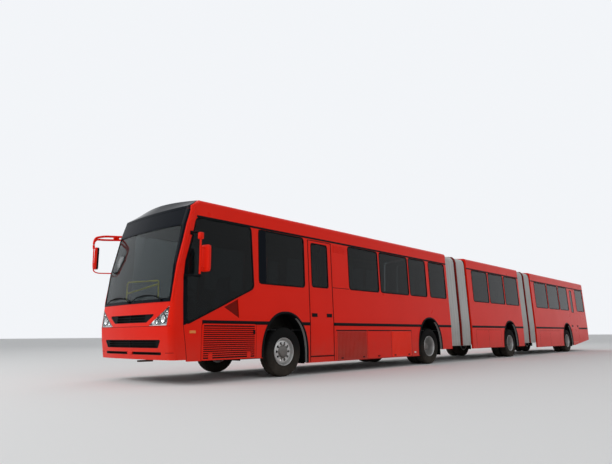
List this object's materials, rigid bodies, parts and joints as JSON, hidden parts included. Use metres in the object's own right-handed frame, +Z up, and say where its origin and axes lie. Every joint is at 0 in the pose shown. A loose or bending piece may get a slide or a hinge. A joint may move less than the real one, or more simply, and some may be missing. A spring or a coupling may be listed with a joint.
{
  "type": "bi-articulated city bus",
  "caption": "City bus of three cars joined by two pleated bellows, on four axles, with steered front wheels and side doors.",
  "frame": {"origin": "on the ground under the middle of the bus", "axes": "+X forward, +Y to the bus's left, +Z up"},
  "size_m": [25.1808, 3.225, 3.43],
  "materials": {
    "red_paint": "gloss enamel on panels",
    "door_paint": "gloss enamel on door leaves",
    "chassis": "satin chassis paint",
    "tinted_glass": "dark tinted safety glass",
    "lamp_clear": "clear moulded lens",
    "lamp_red": "red lens",
    "black_plastic": "black moulding",
    "seat_plastic": "moulded seat shell",
    "dash_plastic": "grained plastic",
    "engine_iron": "painted casting",
    "axle_iron": "painted forging",
    "tyre_rubber": "black rubber",
    "rim_silver": "silver enamel",
    "bellows_fabric": "coated grey fabric"
  },
  "bodies": {
    "front_car": {"front_sides": "red_paint", "front_roof": "red_paint", "front_floor": "chassis", "front_mask": "red_paint", "front_bumper": "red_paint", "windscreen": "tinted_glass", "front_glass": "tinted_glass", "headlamps": "lamp_clear", "grilles": "black_plastic", "mirrors": "red_paint", "front_seats": "seat_plastic", "driver_console": "dash_plastic", "engine_block": "engine_iron", "front_axles": "axle_iron", "bellows_1": "bellows_fabric"},
    "middle_car": {"middle_sides": "red_paint", "middle_roof": "red_paint", "middle_floor": "chassis", "middle_glass": "tinted_glass", "middle_seats": "seat_plastic", "middle_axle": "axle_iron", "bellows_2": "bellows_fabric"},
    "rear_car": {"rear_sides": "red_paint", "rear_roof": "red_paint", "rear_floor": "chassis", "rear_wall": "red_paint", "rear_glass": "tinted_glass", "rear_seats": "seat_plastic", "rear_axle": "axle_iron", "tail_lamps": "lamp_red"},
    "knuckle_left": {"knuckle_l": "axle_iron"},
    "knuckle_right": {"knuckle_r": "axle_iron"},
    "wheel_1l": {"tyre_1l": "tyre_rubber", "rim_1l": "rim_silver"},
    "wheel_1r": {"tyre_1r": "tyre_rubber", "rim_1r": "rim_silver"},
    "wheel_2l": {"tyre_2l": "tyre_rubber", "rim_2l": "rim_silver"},
    "wheel_2r": {"tyre_2r": "tyre_rubber", "rim_2r": "rim_silver"},
    "wheel_3l": {"tyre_3l": "tyre_rubber", "rim_3l": "rim_silver"},
    "wheel_3r": {"tyre_3r": "tyre_rubber", "rim_3r": "rim_silver"},
    "wheel_4l": {"tyre_4l": "tyre_rubber", "rim_4l": "rim_silver"},
    "wheel_4r": {"tyre_4r": "tyre_rubber", "rim_4r": "rim_silver"},
    "door_leaf_1a": {"door_1a": "door_paint"},
    "door_leaf_1b": {"door_1b": "door_paint"},
    "door_leaf_2a": {"door_2a": "door_paint"},
    "door_leaf_2b": {"door_2b": "door_paint"},
    "door_leaf_3a": {"door_3a": "door_paint"},
    "door_leaf_3b": {"door_3b": "door_paint"},
    "door_leaf_4a": {"door_4a": "door_paint"},
    "door_leaf_4b": {"door_4b": "door_paint"},
    "door_leaf_5a": {"door_5a": "door_paint"},
    "door_leaf_5b": {"door_5b": "door_paint"},
    "service_leaf_front": {"service_door_front": "red_paint"},
    "service_leaf_rear": {"service_door_rear": "red_paint"}
  },
  "joints": [
    {"name": "articulation_front", "type": "hinge", "parent": "front_car", "child": "middle_car", "pos_m": [1.625, 0, 0.9], "axis": [0, 0, 1], "range_deg": [-45, 45], "deforming": ["bellows_1"]},
    {"name": "articulation_rear", "type": "hinge", "parent": "middle_car", "child": "rear_car", "pos_m": [-4.35, 0, 0.9], "axis": [0, 0, 1], "range_deg": [-45, 45], "deforming": ["bellows_2"]},
    {"name": "steer_left", "type": "hinge", "parent": "front_car", "child": "knuckle_left", "pos_m": [9.65, 0.9775, 0.507], "axis": [0, 0, 1], "range_deg": [-45, 45]},
    {"name": "steer_right", "type": "hinge", "parent": "front_car", "child": "knuckle_right", "pos_m": [9.65, -0.9775, 0.507], "axis": [0, 0, 1], "range_deg": [-45, 45]},
    {"name": "spin_1l", "type": "hinge", "parent": "knuckle_left", "child": "wheel_1l", "pos_m": [9.65, 1.0975, 0.507], "axis": [0, 1, 0], "continuous": true},
    {"name": "spin_1r", "type": "hinge", "parent": "knuckle_right", "child": "wheel_1r", "pos_m": [9.65, -1.0975, 0.507], "axis": [0, 1, 0], "continuous": true},
    {"name": "spin_2l", "type": "hinge", "parent": "front_car", "child": "wheel_2l", "pos_m": [3.65, 1.0975, 0.507], "axis": [0, 1, 0], "continuous": true},
    {"name": "spin_2r", "type": "hinge", "parent": "front_car", "child": "wheel_2r", "pos_m": [3.65, -1.0975, 0.507], "axis": [0, 1, 0], "continuous": true},
    {"name": "spin_3l", "type": "hinge", "parent": "middle_car", "child": "wheel_3l", "pos_m": [-2.35, 1.0975, 0.507], "axis": [0, 1, 0], "continuous": true},
    {"name": "spin_3r", "type": "hinge", "parent": "middle_car", "child": "wheel_3r", "pos_m": [-2.35, -1.0975, 0.507], "axis": [0, 1, 0], "continuous": true},
    {"name": "spin_4l", "type": "hinge", "parent": "rear_car", "child": "wheel_4l", "pos_m": [-9.2, 1.0975, 0.507], "axis": [0, 1, 0], "continuous": true},
    {"name": "spin_4r", "type": "hinge", "parent": "rear_car", "child": "wheel_4r", "pos_m": [-9.2, -1.0975, 0.507], "axis": [0, 1, 0], "continuous": true},
    {"name": "door_1a_swing", "type": "hinge", "parent": "front_car", "child": "door_leaf_1a", "pos_m": [8.467, -1.1358, 1.95], "axis": [0, 0, -1], "range_deg": [0, 90]},
    {"name": "door_1b_swing", "type": "hinge", "parent": "front_car", "child": "door_leaf_1b", "pos_m": [7.433, -1.1358, 1.95], "axis": [0, 0, 1], "range_deg": [0, 90]},
    {"name": "door_2a_swing", "type": "hinge", "parent": "front_car", "child": "door_leaf_2a", "pos_m": [5.567, -1.1358, 1.95], "axis": [0, 0, -1], "range_deg": [0, 90]},
    {"name": "door_2b_swing", "type": "hinge", "parent": "front_car", "child": "door_leaf_2b", "pos_m": [4.533, -1.1358, 1.95], "axis": [0, 0, 1], "range_deg": [0, 90]},
    {"name": "door_3a_swing", "type": "hinge", "parent": "middle_car", "child": "door_leaf_3a", "pos_m": [0.027, -1.1358, 1.95], "axis": [0, 0, -1], "range_deg": [0, 90]},
    {"name": "door_3b_swing", "type": "hinge", "parent": "middle_car", "child": "door_leaf_3b", "pos_m": [-1.007, -1.1358, 1.95], "axis": [0, 0, 1], "range_deg": [0, 90]},
    {"name": "door_4a_swing", "type": "hinge", "parent": "rear_car", "child": "door_leaf_4a", "pos_m": [-6.103, -1.1358, 1.95], "axis": [0, 0, -1], "range_deg": [0, 90]},
    {"name": "door_4b_swing", "type": "hinge", "parent": "rear_car", "child": "door_leaf_4b", "pos_m": [-7.137, -1.1358, 1.95], "axis": [0, 0, 1], "range_deg": [0, 90]},
    {"name": "door_5a_swing", "type": "hinge", "parent": "rear_car", "child": "door_leaf_5a", "pos_m": [-10.913, -1.1358, 1.95], "axis": [0, 0, -1], "range_deg": [0, 90]},
    {"name": "door_5b_swing", "type": "hinge", "parent": "rear_car", "child": "door_leaf_5b", "pos_m": [-11.947, -1.1358, 1.95], "axis": [0, 0, 1], "range_deg": [0, 90]},
    {"name": "service_door_front_swing", "type": "hinge", "parent": "front_car", "child": "service_leaf_front", "pos_m": [8.872, 1.275, 1.7], "axis": [0, 0, -1], "range_deg": [0, 90]},
    {"name": "service_door_rear_swing", "type": "hinge", "parent": "rear_car", "child": "service_leaf_rear", "pos_m": [-9.898, 1.275, 1.7], "axis": [0, 0, -1], "range_deg": [0, 90]}
  ],
  "couplings": [
    {"joint": "steer_right", "follows": "steer_left", "ratio": 1},
    {"joint": "door_1b_swing", "follows": "door_1a_swing", "ratio": 1},
    {"joint": "door_2b_swing", "follows": "door_2a_swing", "ratio": 1},
    {"joint": "door_3b_swing", "follows": "door_3a_swing", "ratio": 1},
    {"joint": "door_4b_swing", "follows": "door_4a_swing", "ratio": 1},
    {"joint": "door_5b_swing", "follows": "door_5a_swing", "ratio": 1}
  ]
}
